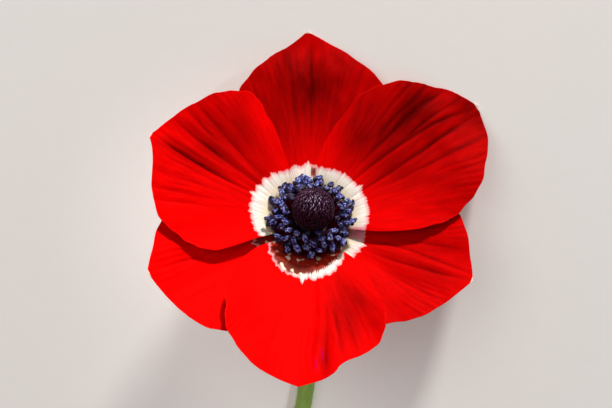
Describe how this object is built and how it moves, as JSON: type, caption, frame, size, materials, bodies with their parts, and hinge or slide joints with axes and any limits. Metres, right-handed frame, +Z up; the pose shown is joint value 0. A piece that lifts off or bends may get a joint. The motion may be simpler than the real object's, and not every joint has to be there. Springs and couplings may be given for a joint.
{
  "type": "anemone flower",
  "caption": "Cut red anemone flower lying face up on its curved stem, with a white-ringed heart, blue stamens and a dark pistil head.",
  "frame": {"origin": "on the surface that the flower lies on, under the middle of its outer box", "axes": "+Z up from the surface, +Y along the stem towards its cut end; the flower faces up and leans towards -Y"},
  "size_m": [0.0662, 0.1187, 0.041],
  "materials": {
    "petals": "silky, finely veined red, white round the heart",
    "stem": "soft, downy green",
    "stamens": "dusty blue-violet",
    "pistil": "dark purple, finely tufted"
  },
  "bodies": {
    "root": {"stem": "stem", "petal_top": "petals", "petal_lower_left": "petals", "petal_lower_right": "petals", "petal_upper_left": "petals", "petal_upper_right": "petals", "petal_bottom": "petals", "stamens": "stamens", "pistil_head": "pistil"}
  },
  "joints": []
}
